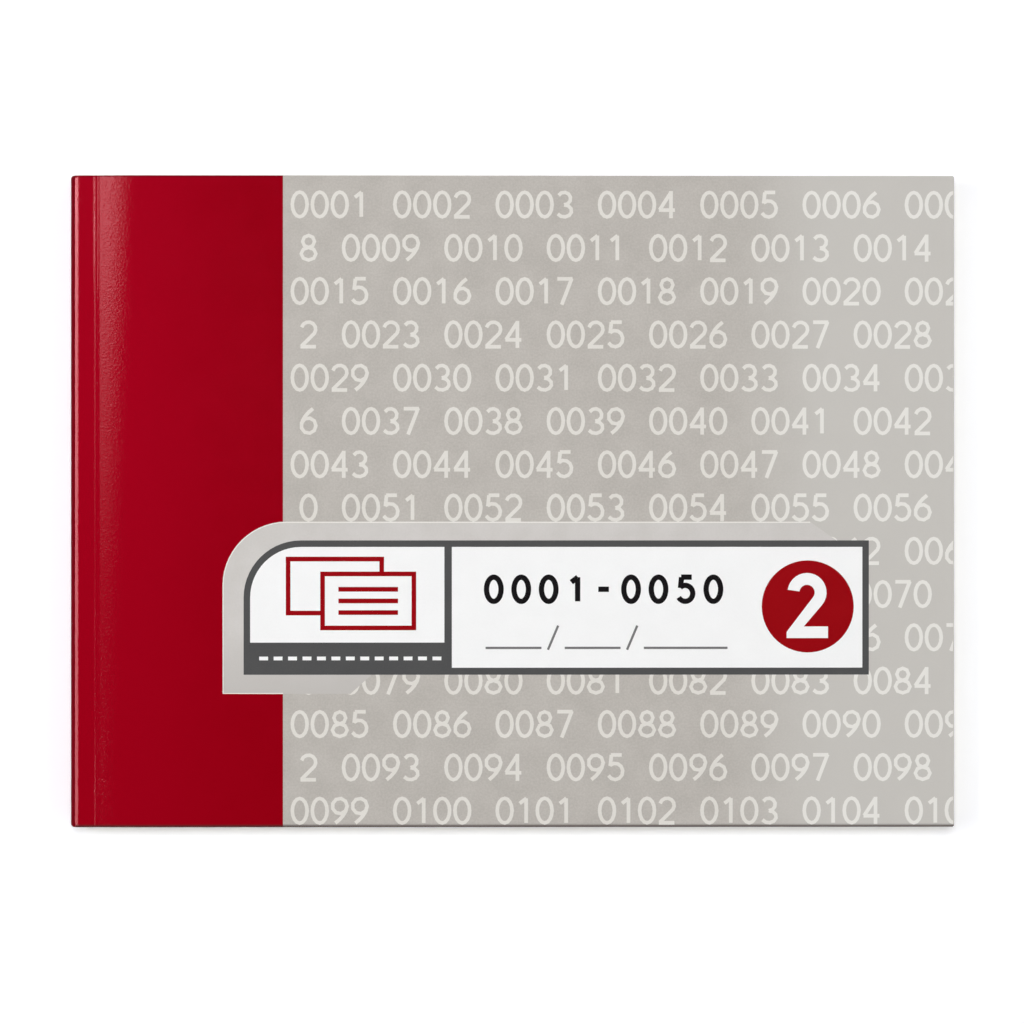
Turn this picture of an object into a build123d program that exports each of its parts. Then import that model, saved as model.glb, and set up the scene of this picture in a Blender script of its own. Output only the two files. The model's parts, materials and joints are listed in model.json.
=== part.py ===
"""A duplicate receipt book lying on its back cover, with its spine to the left.

Two-part carbonless receipt sets are wire stitched and glued into a scored wrap cover of laminated card.
The origin is under the middle of the book, X runs from the spine to the fore-edge and Y from tail to head.
"""

import os
from math import floor, sqrt

from build123d import *

os.makedirs("parts", exist_ok=True)

# Driving dimensions of the trimmed book, in millimetres
BOOK_WIDTH = 190.0  # outside of the spine to the fore-edge
BOOK_HEIGHT = 140.0  # tail to head
CORNER_RADIUS = 0.8  # fore-edge corners, rubbed round

# Cover card
COVER_CARD = 0.30
SPINE_BEND = 1.6  # outside radius where the card turns round the spine
CREASE_REACH = 5.3  # outside of the spine to the hinge creases
CREASE_RADIUS = 0.15  # round groove pressed along each crease
SLOPE_REACH = 11.5  # outside of the spine to where the front cover levels out

# Glue between the leaves and the cover
SIDE_GLUE = 0.05  # under the hinge strips
CORNER_GLUE = 0.02  # least thickness, where the pad's corners come nearest to the bent card
SIDE_GLUE_INSET = 0.6  # held back from the creases

# Receipt sets
SET_COUNT = 50
COPIES = 2  # an original and a duplicate in each set
LEAF = 0.07
TURNING_SETS = 3  # sets that turn over with the front cover
SETS_PER_GROUP = 10  # leaves that stay down share a node by tens of sets

# Stub, where a leaf is bound, and the perforation along it
STUB_REACH = 20.0  # outside of the spine to the perforation
RAMP_RUN = 6.4  # length over which the raised stubs climb to the shield's top
RAMP_MARGIN = 0.6  # level stretch between that climb and the perforation
PERFORATION_PITCH = 2.0
PERFORATION_CUT = 1.2  # length of each cut along the line
PERFORATION_GAP = 0.3  # width of each cut across the line

# Loose card under the set in use
SHIELD_CARD = 0.30
SHIELD_GAP = 0.6  # from the perforation to the card's near edge
SHIELD_MARGIN = 1.0  # kept in from the trimmed edges

# Wire stitches through the stubs
WIRE = 0.50
WIRE_BEND = 0.6  # radius of the wire's centre line at its corners
WIRE_CLEARANCE = 0.05
STITCH_REACH = 3.6  # outside of the spine to the line of stitching
STITCH_LENGTH = 12.0  # from leg to leg
STITCH_CLINCH = 5.0  # each leg's end, folded in under the pad
STITCH_SPACING = 76.0  # from the middle of one stitch to the middle of the other

# Places that follow from those sizes
SPINE = -BOOK_WIDTH / 2
FORE_EDGE = BOOK_WIDTH / 2
CREASE = SPINE + CREASE_REACH
SLOPE_END = SPINE + SLOPE_REACH
BEND_INSIDE = SPINE_BEND - COVER_CARD
LEAF_EDGE = SPINE + SPINE_BEND - sqrt((BEND_INSIDE - CORNER_GLUE) ** 2 - (BEND_INSIDE - SIDE_GLUE) ** 2)
PERFORATION = SPINE + STUB_REACH
RAMP_END = PERFORATION - RAMP_MARGIN
RAMP_START = RAMP_END - RAMP_RUN
STITCH_LINE = SPINE + STITCH_REACH
OPEN_SET = TURNING_SETS + 1  # the set in use, with the shield under its duplicate
PAD_BOTTOM = COVER_CARD + SIDE_GLUE
PAD_TOP = PAD_BOTTOM + SET_COUNT * COPIES * LEAF
STRIP_TOP = PAD_TOP + SIDE_GLUE + COVER_CARD
SHEETS_TOP = PAD_TOP + SHIELD_CARD
COVER_TOP = SHEETS_TOP + COVER_CARD
ORIGINAL, DUPLICATE = range(COPIES)
COPY_NAMES = ("original", "duplicate")


def save(part, name):
    """Labels a finished piece and writes it under the name of its node."""
    part.label = name
    export_step(part, f"parts/{name}.step")


def leaf_level(set_number, copy):
    """Height of a bound leaf's underside: set 1 is on top, with its original above its duplicate."""
    leaves_above = (set_number - 1) * COPIES + copy
    return PAD_TOP - (leaves_above + 1) * LEAF


def rounded_sheet(near_edge, far_edge, margin=0.0):
    """Draws a leaf's or card's outline, with its two corners at far_edge rounded."""
    with Locations(((near_edge + far_edge) / 2, 0)):
        sheet = Rectangle(far_edge - near_edge, BOOK_HEIGHT - 2 * margin)
    fillet(sheet.vertices().group_by(Axis.X)[-1], CORNER_RADIUS)


def stitch_openings(level, mode=Mode.SUBTRACT):
    """Draws a leaf's openings for the wire: a slot where it lies along the leaf, or a hole at each leg."""
    bend_depth = WIRE / 2 + WIRE_BEND
    wire_lies_along = level + LEAF > PAD_TOP - bend_depth or level < PAD_BOTTOM + bend_depth
    opening = WIRE + 2 * WIRE_CLEARANCE
    with Locations((STITCH_LINE, 0)):
        with GridLocations(0, STITCH_SPACING, 1, 2):
            if wire_lies_along:
                SlotCenterToCenter(STITCH_LENGTH, opening, rotation=90, mode=mode)
            else:
                with GridLocations(0, STITCH_LENGTH, 1, 2):
                    Circle(opening / 2, mode=mode)


def perforation_cuts(mode=Mode.SUBTRACT):
    """Draws the row of cuts along the tear line."""
    cut_count = floor((BOOK_HEIGHT - PERFORATION_CUT) / PERFORATION_PITCH)
    with Locations((PERFORATION, 0)):
        with GridLocations(0, PERFORATION_PITCH, 1, cut_count):
            Rectangle(PERFORATION_GAP, PERFORATION_CUT, mode=mode)


def raised_leaf(level, far_edge):
    """Draws, from the side, a leaf that is bound at a level and climbs over the shield's edge."""
    raised = level + SHIELD_CARD
    Polygon(
        (LEAF_EDGE, level),
        (RAMP_START, level),
        (RAMP_END, raised),
        (far_edge, raised),
        (far_edge, raised + LEAF),
        (RAMP_END, raised + LEAF),
        (RAMP_START, level + LEAF),
        (LEAF_EDGE, level + LEAF),
        align=None,
    )


# Spine wrap: the part of the cover card that is glued round the back of the pad, between its two creases
with BuildPart() as spine_wrap:
    with BuildSketch(Plane.XZ) as wrap_section:
        with Locations((SPINE, 0)):
            outside = Rectangle(CREASE_REACH, STRIP_TOP, align=(Align.MIN, Align.MIN))
        fillet(outside.vertices().group_by(Axis.X)[0], SPINE_BEND)
        with BuildSketch(mode=Mode.PRIVATE) as wrap_inside:
            with Locations((SPINE + COVER_CARD, COVER_CARD)):
                Rectangle(CREASE_REACH, STRIP_TOP - 2 * COVER_CARD, align=(Align.MIN, Align.MIN))
            fillet(wrap_inside.vertices().group_by(Axis.X)[0], BEND_INSIDE)
        add(wrap_inside.sketch, mode=Mode.SUBTRACT)
        with Locations((CREASE, STRIP_TOP), (CREASE, 0)):
            Circle(CREASE_RADIUS, mode=Mode.SUBTRACT)
    extrude(amount=BOOK_HEIGHT / 2, both=True)
save(spine_wrap.part, "spine_wrap")

# Front cover: hinges at its crease and climbs a little from there, because the bound edge is pressed flatter
with BuildPart() as front_cover:
    with BuildSketch(Plane.XZ):
        Polygon(
            (CREASE, STRIP_TOP),
            (SLOPE_END, COVER_TOP),
            (FORE_EDGE, COVER_TOP),
            (FORE_EDGE, SHEETS_TOP),
            (SLOPE_END, SHEETS_TOP),
            (CREASE, STRIP_TOP - COVER_CARD),
            align=None,
        )
        with Locations((CREASE, STRIP_TOP)):
            Circle(CREASE_RADIUS, mode=Mode.SUBTRACT)
    extrude(amount=BOOK_HEIGHT / 2, both=True)
    fillet(front_cover.edges().filter_by(Axis.Z).group_by(Axis.X)[-1], CORNER_RADIUS)
save(front_cover.part, "front_cover")

# Back cover: flat on the table, with the same crease on its outside
with BuildPart() as back_cover:
    with BuildSketch():
        rounded_sheet(CREASE, FORE_EDGE)
    extrude(amount=COVER_CARD)
    with BuildSketch(Plane.XZ):
        with Locations((CREASE, 0)):
            Circle(CREASE_RADIUS)
    extrude(amount=BOOK_HEIGHT / 2, both=True, mode=Mode.SUBTRACT)
save(back_cover.part, "back_cover")

# Spine glue: fills the bent card behind the leaves and runs as a thin film under both hinge strips
with BuildPart() as spine_glue:
    with BuildSketch(Plane.XZ) as glue_section:
        with Locations((SPINE + COVER_CARD, COVER_CARD)):
            film = Rectangle(
                CREASE_REACH - COVER_CARD - SIDE_GLUE_INSET,
                STRIP_TOP - 2 * COVER_CARD,
                align=(Align.MIN, Align.MIN),
            )
        fillet(film.vertices().group_by(Axis.X)[0], BEND_INSIDE)
        with Locations((LEAF_EDGE, PAD_BOTTOM)):
            Rectangle(BOOK_WIDTH, PAD_TOP - PAD_BOTTOM, align=(Align.MIN, Align.MIN), mode=Mode.SUBTRACT)
    extrude(amount=BOOK_HEIGHT / 2, both=True)
save(spine_glue.part, "spine_glue")

# Wire stitches: a crown let into the top stubs, two legs through the pad, and ends folded in under it
for name, middle in (("head_stitch", STITCH_SPACING / 2), ("tail_stitch", -STITCH_SPACING / 2)):
    low, high = PAD_BOTTOM + WIRE / 2, PAD_TOP - WIRE / 2
    leg = STITCH_LENGTH / 2
    with BuildPart() as stitch:
        with BuildLine(Plane.YZ.offset(STITCH_LINE)) as wire_path:
            FilletPolyline(
                (middle - leg + STITCH_CLINCH, low),
                (middle - leg, low),
                (middle - leg, high),
                (middle + leg, high),
                (middle + leg, low),
                (middle + leg - STITCH_CLINCH, low),
                radius=WIRE_BEND,
            )
        with BuildSketch(Plane(origin=wire_path.line @ 0, z_dir=wire_path.line % 0)):
            Circle(WIRE / 2)
        sweep(path=wire_path.line)
    save(stitch.part, name)

# Leaves above the shield: each turning leaf, and the open set's original, parts from its stub at the line
for set_number in range(1, OPEN_SET + 1):
    for copy in (ORIGINAL, DUPLICATE):
        if (set_number, copy) == (OPEN_SET, DUPLICATE):
            continue
        name = f"{COPY_NAMES[copy]}_{set_number:02d}"
        level = leaf_level(set_number, copy)

        with BuildPart() as stub:
            with BuildSketch(Plane.XZ):
                raised_leaf(level, PERFORATION)
            extrude(amount=BOOK_HEIGHT / 2, both=True)
            with BuildSketch(Plane.XY.offset(level)):
                stitch_openings(level, mode=Mode.ADD)
                if copy == ORIGINAL:
                    perforation_cuts(mode=Mode.ADD)
            extrude(amount=SHIELD_CARD + LEAF, mode=Mode.SUBTRACT)
        save(stub.part, f"{name}_stub")

        with BuildPart() as sheet:
            with BuildSketch(Plane.XY.offset(level + SHIELD_CARD)):
                rounded_sheet(PERFORATION, FORE_EDGE)
                if copy == ORIGINAL:
                    perforation_cuts()
            extrude(amount=LEAF)
        save(sheet.part, name)

# Duplicate of the open set: a whole leaf that stays in the book and climbs over the shield
with BuildPart() as open_duplicate:
    level = leaf_level(OPEN_SET, DUPLICATE)
    with BuildSketch(Plane.XZ):
        raised_leaf(level, FORE_EDGE)
    extrude(amount=BOOK_HEIGHT / 2, both=True)
    fillet(open_duplicate.edges().filter_by(Axis.Z).group_by(Axis.X)[-1], CORNER_RADIUS)
    with BuildSketch(Plane.XY.offset(level)):
        stitch_openings(level, mode=Mode.ADD)
    extrude(amount=LEAF, mode=Mode.SUBTRACT)
save(open_duplicate.part, f"{COPY_NAMES[DUPLICATE]}_{OPEN_SET:02d}")

# Writing shield: a loose card under the open set, so that the pen does not mark the sets below
with BuildPart() as writing_shield:
    with BuildSketch(Plane.XY.offset(leaf_level(OPEN_SET, DUPLICATE))):
        rounded_sheet(PERFORATION + SHIELD_GAP, FORE_EDGE - SHIELD_MARGIN, margin=SHIELD_MARGIN)
    extrude(amount=SHIELD_CARD)
save(writing_shield.part, "writing_shield")

# Leaves that stay down: whole flat leaves, one solid each, grouped by kind and by tens of sets
first_set = OPEN_SET + 1
while first_set <= SET_COUNT:
    last_set = min((first_set - 1) // SETS_PER_GROUP * SETS_PER_GROUP + SETS_PER_GROUP, SET_COUNT)
    for copy in (ORIGINAL, DUPLICATE):
        with BuildPart() as leaves:
            for set_number in range(first_set, last_set + 1):
                level = leaf_level(set_number, copy)
                with BuildSketch(Plane.XY.offset(level)):
                    rounded_sheet(LEAF_EDGE, FORE_EDGE)
                    stitch_openings(level)
                extrude(amount=LEAF)
        save(leaves.part, f"{COPY_NAMES[copy]}s_{first_set:02d}_to_{last_set:02d}")
    first_set = last_set + 1
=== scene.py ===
import json
from math import ceil, cos, exp, pi, radians, sin, sqrt, tan

import bmesh
import bpy
import numpy as np
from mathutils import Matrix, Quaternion, Vector


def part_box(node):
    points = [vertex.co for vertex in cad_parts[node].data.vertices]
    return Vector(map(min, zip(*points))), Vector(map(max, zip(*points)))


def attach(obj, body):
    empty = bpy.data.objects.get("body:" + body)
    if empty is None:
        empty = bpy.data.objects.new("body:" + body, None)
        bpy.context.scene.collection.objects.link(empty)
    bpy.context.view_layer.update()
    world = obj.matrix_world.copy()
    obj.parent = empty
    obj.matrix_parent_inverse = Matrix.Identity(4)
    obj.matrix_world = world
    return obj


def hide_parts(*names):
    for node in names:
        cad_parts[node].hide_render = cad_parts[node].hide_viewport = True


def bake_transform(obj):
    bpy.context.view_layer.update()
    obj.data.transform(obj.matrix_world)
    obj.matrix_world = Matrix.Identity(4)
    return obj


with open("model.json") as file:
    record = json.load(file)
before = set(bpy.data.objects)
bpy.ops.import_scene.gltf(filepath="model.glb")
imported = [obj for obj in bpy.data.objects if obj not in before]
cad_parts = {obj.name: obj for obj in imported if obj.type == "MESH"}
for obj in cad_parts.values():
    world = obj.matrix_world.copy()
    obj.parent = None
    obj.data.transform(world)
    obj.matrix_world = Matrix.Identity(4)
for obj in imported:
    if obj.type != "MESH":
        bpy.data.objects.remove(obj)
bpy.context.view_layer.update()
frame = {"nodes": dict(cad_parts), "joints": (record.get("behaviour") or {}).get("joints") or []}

# Leaves that stay down
# Sets 05 to 50 lie flat in the pad, a white original over a yellow duplicate each time.
# They are thin copying paper, guillotined in one stack, so no two edges line up exactly.
mm = 0.001
FORE_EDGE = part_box("front_cover")[1].x
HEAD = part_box("front_cover")[1].y
LEAF_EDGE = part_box("duplicate_04")[0].x
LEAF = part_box("original_01")[1].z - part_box("original_01")[0].z
INK_ROOM = 0.01 * mm
CORNER = 0.5 * mm
STAGGER = 0.12 * mm
FIBRE = 0.22 * mm
FIBRE_RELIEF = 0.008 * mm
FORMATION = 5 * mm
SHARP = radians(35)
TONE_SEED = 7
DUPLICATE_SEED = 20
GROUPS = ("05_to_10", "11_to_20", "21_to_30", "31_to_40", "41_to_50")


class Wire:
    """One output of a node. Arithmetic on wires adds Math nodes, and node() adds any other kind."""

    def __init__(self, tree, socket=None):
        self.tree = tree
        self.socket = socket

    def node(self, kind, settings=(), sockets=(), output=0):
        made = self.tree.nodes.new(kind)
        for name, value in dict(settings).items():
            setattr(made, name, value)
        for name, value in dict(sockets).items():
            if isinstance(value, Wire):
                self.tree.links.new(value.socket, made.inputs[name])
            else:
                made.inputs[name].default_value = value
        return Wire(self.tree, made.outputs[output] if made.outputs else None)

    def math(self, operation, first, second):
        return self.node("ShaderNodeMath", {"operation": operation}, {0: first, 1: second})

    def __add__(self, other):
        return self.math("ADD", self, other)

    def __radd__(self, other):
        return self.math("ADD", other, self)

    def __sub__(self, other):
        return self.math("SUBTRACT", self, other)

    def __rsub__(self, other):
        return self.math("SUBTRACT", other, self)

    def __mul__(self, other):
        return self.math("MULTIPLY", self, other)

    def __rmul__(self, other):
        return self.math("MULTIPLY", other, self)


def tint(red, green, blue):
    """A colour as a picture editor gives it, from 0 to 255, as Blender's linear values."""
    def linear(value):
        share = value / 255
        return share / 12.92 if share <= 0.04045 else ((share + 0.055) / 1.055) ** 2.4
    return linear(red), linear(green), linear(blue), 1.0


def noise(shade, place, size, detail=2.0):
    """Cloudy noise from 0 to 1 whose blots are about size across."""
    sockets = {"Vector": place, "Scale": 1 / size, "Detail": detail}
    return shade.node("ShaderNodeTexNoise", {}, sockets, "Fac")


def mix(shade, share, first, second):
    return shade.node("ShaderNodeMix", {"data_type": "RGBA"}, {0: share, 6: first, 7: second}, 2)


def spread(shade, value, low, high):
    """A value eased so that low gives 0 and high gives 1."""
    return shade.node("ShaderNodeMapRange", {"interpolation_type": "SMOOTHSTEP"},
                      {"Value": value, "From Min": low, "From Max": high})


def bumped(shade, height, relief, strength):
    """Normals that follow a pattern of heights, in which a height of 1 stands relief high."""
    return shade.node("ShaderNodeBump", {}, {"Strength": strength, "Distance": relief, "Height": height})


def surface(name):
    """An empty material and a wire to start its nodes from."""
    made = bpy.data.materials.new(name)
    made.use_nodes = True
    made.node_tree.nodes.clear()
    return made, Wire(made.node_tree)


def coat(shade, sockets):
    principled = shade.node("ShaderNodeBsdfPrincipled", {}, sockets)
    shade.node("ShaderNodeOutputMaterial", {}, {"Surface": principled})


def flat_place(shade):
    """Where a point was in the flat, closed book, which a pattern keeps to when its piece bends."""
    return shade.node("ShaderNodeAttribute", {"attribute_name": "flat_place"}, output="Vector")


def remember_flat(piece):
    places = np.empty(len(piece.data.vertices) * 3, np.float32)
    piece.data.vertices.foreach_get("co", places)
    kept = piece.data.attributes.new("flat_place", "FLOAT_VECTOR", "POINT")
    kept.data.foreach_set("vector", places)


def paper(name, tones, place_of=flat_place):
    """Uncoated copying paper: short fibres, a cloudy formation and its own tone on each leaf."""
    made, shade = surface(name)
    place = place_of(shade)
    fibres = noise(shade, place, FIBRE, 4.0)
    clouds = noise(shade, place, FORMATION, 3.0)
    tone = shade.node("ShaderNodeAttribute", {"attribute_name": "leaf_tone"}, output="Fac")
    share = fibres * 0.35 + clouds * 0.35 + tone * 0.5 - 0.1
    coat(shade, {"Base Color": mix(shade, share, *tones), "Roughness": 0.72 + fibres * 0.2,
                 "Normal": bumped(shade, fibres, FIBRE_RELIEF, 0.5)})
    return made


def reach(x):
    """How far a sheet with rounded outer corners goes from its middle to head and tail, at x."""
    past = max(0.0, x - (FORE_EDGE - CORNER))
    return HEAD - CORNER + sqrt(max(0.0, CORNER ** 2 - past ** 2))


def corner_columns(steps=4):
    return [FORE_EDGE - CORNER + CORNER * sin(pi / 2 * k / steps) for k in range(steps + 1)]


def slab(name, upper, lower, filled=None, outside=None):
    """A closed sheet between two grids of points. Cells that aren't filled are holes with walls round them.
    outside gives the material number of the upper face in each column, and the rest takes number 0."""
    columns, rows = upper.shape[:2]
    filled = np.ones((columns - 1, rows - 1), bool) if filled is None else filled
    over = np.arange(columns * rows).reshape(columns, rows)
    under = over + columns * rows
    ringed = np.pad(filled, 1)
    faces, numbers = [], []
    for i, j in np.argwhere(filled):
        corners = [(i, j), (i + 1, j), (i + 1, j + 1), (i, j + 1)]
        faces.append([over[c] for c in corners])
        numbers.append(0 if outside is None else outside[i])
        faces.append([under[c] for c in reversed(corners)])
        numbers.append(0)
        for side, (across, along) in enumerate([(0, -1), (1, 0), (0, 1), (-1, 0)]):
            if not ringed[i + 1 + across, j + 1 + along]:
                first, second = corners[side], corners[(side + 1) % 4]
                faces.append([over[second], over[first], under[first], under[second]])
                numbers.append(0)
    points = np.concatenate([upper.reshape(-1, 3), lower.reshape(-1, 3)])
    used, faces = np.unique(np.array(faces), return_inverse=True)
    mesh = bpy.data.meshes.new(name)
    mesh.from_pydata(points[used].tolist(), [], faces.reshape(-1, 4).tolist())
    mesh.polygons.foreach_set("material_index", numbers)
    mesh.polygons.foreach_set("use_smooth", [True] * len(numbers))
    mesh.set_sharp_from_angle(angle=SHARP)
    return bpy.data.objects.new(name, mesh)


def sheet_grids(columns, heights, thickness, rows):
    """The upper and lower points of a sheet.
    heights holds its underside at each column, and rows go from -1 at the tail to 1 at the head."""
    lower = np.array([[(x, (reach(x) - STAGGER / 2) * row, z) for row in rows]
                      for x, z in zip(columns, heights)])
    return lower + (0, 0, thickness), lower


def tree_of(name, **inputs):
    """A new Geometry Nodes tree with one geometry in and out and the named inputs, and a wire from each."""
    tree = bpy.data.node_groups.new(name, "GeometryNodeTree")
    tree.interface.new_socket("Geometry", in_out="INPUT", socket_type="NodeSocketGeometry")
    for label, kind in inputs.items():
        tree.interface.new_socket(label, in_out="INPUT", socket_type="NodeSocket" + kind)
    tree.interface.new_socket("Geometry", in_out="OUTPUT", socket_type="NodeSocketGeometry")
    entry = tree.nodes.new("NodeGroupInput")
    return tree, Wire(tree), {socket.name: Wire(tree, socket) for socket in entry.outputs if socket.name}


def show(thing):
    bpy.context.scene.collection.objects.link(thing)


def grown(name, source, tree, **inputs):
    """Runs a tree on source and keeps the result as a plain mesh object of that name."""
    show(source)
    modifier = source.modifiers.new("grow", "NODES")
    modifier.node_group = tree
    for socket in tree.interface.items_tree:
        if socket.in_out == "INPUT" and socket.name in inputs:
            modifier[socket.identifier] = inputs[socket.name]
    graph = bpy.context.evaluated_depsgraph_get()
    mesh = bpy.data.meshes.new_from_object(source.evaluated_get(graph))
    bpy.data.objects.remove(source)
    mesh.shade_flat()
    piece = bpy.data.objects.new(name, mesh)
    show(piece)
    remember_flat(piece)
    return piece


leaf_stack, stack, given = tree_of("leaf_stack", Leaves="Int", Lowest="Float", Pitch="Float", Stagger="Float",
                                   Seed="Int", Paper="Material")
start = stack.node("ShaderNodeCombineXYZ", {}, {"Z": given["Lowest"]})
step = stack.node("ShaderNodeCombineXYZ", {}, {"Z": given["Pitch"]})
levels = stack.node("GeometryNodeMeshLine", {},
                    {"Count": given["Leaves"], "Start Location": start, "Offset": step})
leaves = stack.node("GeometryNodeInstanceOnPoints", {}, {"Points": levels, "Instance": given["Geometry"]})
inset = stack.node("ShaderNodeCombineXYZ", {}, {"X": given["Stagger"] * -1.0, "Y": given["Stagger"] * -0.5})
shove = stack.node("ShaderNodeCombineXYZ", {}, {"Y": given["Stagger"] * 0.5})
drift = stack.node("FunctionNodeRandomValue", {"data_type": "FLOAT_VECTOR"},
                   {0: inset, 1: shove, "Seed": given["Seed"]})
leaves = stack.node("GeometryNodeTranslateInstances", {}, {"Instances": leaves, "Translation": drift})
tone = stack.node("FunctionNodeRandomValue", {"data_type": "FLOAT"},
                  {2: 0.0, 3: 1.0, "Seed": given["Seed"] + TONE_SEED}, 1)
leaves = stack.node("GeometryNodeStoreNamedAttribute", {"data_type": "FLOAT", "domain": "INSTANCE"},
                    {"Geometry": leaves, "Name": "leaf_tone", "Value": tone})
leaves = stack.node("GeometryNodeRealizeInstances", {}, {"Geometry": leaves})
leaves = stack.node("GeometryNodeSetMaterial", {}, {"Geometry": leaves, "Material": given["Paper"]})
stack.node("NodeGroupOutput", {}, {0: leaves})

ORIGINAL_TONES = (tint(247, 246, 242), tint(232, 230, 224))
DUPLICATE_TONES = (tint(252, 245, 206), tint(243, 234, 188))
original_paper = paper("original_paper", ORIGINAL_TONES)
duplicate_paper = paper("duplicate_paper", DUPLICATE_TONES)
leaf_columns = [LEAF_EDGE, *corner_columns()]
for kind, finish in (("originals", original_paper), ("duplicates", duplicate_paper)):
    for number, group in enumerate(GROUPS):
        node = f"{kind}_{group}"
        low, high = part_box(node)
        grids = sheet_grids(leaf_columns, [0.0] * len(leaf_columns), LEAF - INK_ROOM, [-1, 1])
        pile = grown(f"{node}_pile", slab("leaf", *grids), leaf_stack,
                     Leaves=round(((high.z - low.z) / LEAF + 1) / 2), Lowest=low.z, Pitch=2 * LEAF,
                     Stagger=STAGGER, Seed=number + DUPLICATE_SEED * (kind == "duplicates"), Paper=finish)
        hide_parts(node)
        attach(pile, "pad")

# Writing shield
# A loose board, nearly as large as a receipt, under the set in use, so that writing copies no further down.
# It is cheap grey recycled board with flecks in it, die cut, and nothing holds it.
FELT = 0.5 * mm
FELT_RELIEF = 0.03 * mm
FLECK = 0.9 * mm


def solid_place(shade):
    """Where a point is on a solid of the frame."""
    return shade.node("ShaderNodeTexCoord", output="Object")


def dress(finish, *nodes):
    """Gives solids of the frame their finish."""
    for node in nodes:
        materials = frame["nodes"][node].data.materials
        materials.clear()
        materials.append(finish)


shield_board, shade = surface("shield_board")
place = solid_place(shade)
felt = noise(shade, place, FELT, 4.0)
flecks = spread(shade, noise(shade, place, FLECK, 1.0), 0.68, 0.74)
board_colour = mix(shade, spread(shade, felt, 0.3, 0.7), tint(176, 164, 142), tint(152, 141, 121))
board_colour = mix(shade, flecks, board_colour, tint(98, 90, 80))
coat(shade, {"Base Color": board_colour, "Roughness": 0.8 + felt * 0.15,
             "Normal": bumped(shade, felt, FELT_RELIEF, 0.6)})
dress(shield_board, "writing_shield")

# Set in use
# The receipt that tears off along its row of cuts, its bound stub, and the yellow copy under it.
# The printed form is a thin ink film: frame, write-in rules, boxes and a running number in plain figures.
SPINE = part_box("spine_wrap")[0].x
FORM_LINE = 0.3 * mm
INK_FILM = 0.006 * mm
INK_GRAIN = 0.12 * mm
OVERLAP = 0.0015 * mm
OVERLAPS = 4
FORM_LEFT = 32 * mm
FORM_RIGHT = 182 * mm
FORM_TOP = 60 * mm
RULE_LEFT = 36 * mm
RULE_RIGHT = 178 * mm
FIRST_RULE = 20 * mm
RULE_PITCH = 12 * mm
RULES = 5
BOX_TOP = 56 * mm
HEADING_RIGHT = 128 * mm
NUMBER_LEFT = 134 * mm
NUMBER_FOOT = 44 * mm
DATE_TOP = 42 * mm
DATE_FOOT = 32 * mm
DATE_SLASHES = (147 * mm, 158 * mm)
SLASH_LEAN = 3 * mm
SLASH_GAP = 2 * mm
AMOUNT_RIGHT = 92 * mm
AMOUNT_TOP = -40 * mm
AMOUNT_FOOT = -55 * mm
AMOUNT_GAP = 1 * mm
SIGNATURE_LEFT = 122 * mm
SIGNATURE_LEVEL = -53 * mm
FORM_NUMBER = {"x": 143 * mm, "y": 47.2 * mm, "height": 5.6 * mm, "pitch": 7 * mm}

original_sheet = paper("original_sheet", ORIGINAL_TONES, solid_place)
duplicate_sheet = paper("duplicate_sheet", DUPLICATE_TONES, solid_place)
dress(original_sheet, "original_04", "original_04_stub")
dress(duplicate_sheet, "duplicate_04")


def inked(nodes, strokes, given):
    """Ends a tree with strokes of the given width, drawn as a film of the given ink."""
    sides = {"Width": given["Width"], "Height": given["Film"]}
    nib = nodes.node("GeometryNodeCurvePrimitiveQuadrilateral", {}, sides)
    film = nodes.node("GeometryNodeRealizeInstances", {}, {"Geometry": strokes})
    film = nodes.node("GeometryNodeCurveToMesh", {}, {"Curve": film, "Profile Curve": nib, "Fill Caps": True})
    film = nodes.node("GeometryNodeSetMaterial", {}, {"Geometry": film, "Material": given["Ink"]})
    nodes.node("NodeGroupOutput", {}, {0: film})


strokes_tree, pen, given = tree_of("printed_strokes", Width="Float", Film="Float", Ink="Material")
inked(pen, given["Geometry"], given)


def stroke_curve(name, paths, level=0.0):
    """Pen strokes as one curve. Strokes that cross lie at slightly different levels, as ink over ink does."""
    curve = bpy.data.curves.new(name, "CURVE")
    curve.dimensions = "3D"
    curve.twist_mode = "Z_UP"
    for order, path in enumerate(paths):
        closed = path[0] == path[-1]
        points = path[:-1] if closed else path
        spline = curve.splines.new("POLY")
        spline.points.add(len(points) - 1)
        for point, (x, y) in zip(spline.points, points):
            point.co = (x, y, level + order % OVERLAPS * OVERLAP, 1)
        spline.use_cyclic_u = closed
    return bpy.data.objects.new(name, curve)


def printed_strokes(name, paths, width, bottom, film, finish):
    """Strokes of one width, given from the spine and the middle line, as a film on the level bottom."""
    placed = [[(SPINE + x, y) for x, y in path] for path in paths]
    source = stroke_curve(name + "_strokes", placed, bottom + film / 2)
    return grown(name, source, strokes_tree, Width=width, Film=film, Ink=finish)


def bow(x, y, wide, high, first, last, steps):
    """Points on an oval about x, y between two angles in degrees."""
    turns = [radians(first + (last - first) * k / steps) for k in range(steps + 1)]
    return [(x + wide * cos(turn), y + high * sin(turn)) for turn in turns]


def oval(x, y, wide, high, steps):
    points = bow(x, y, wide, high, 0, 360, steps)
    return points[:-1] + points[:1]


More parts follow.
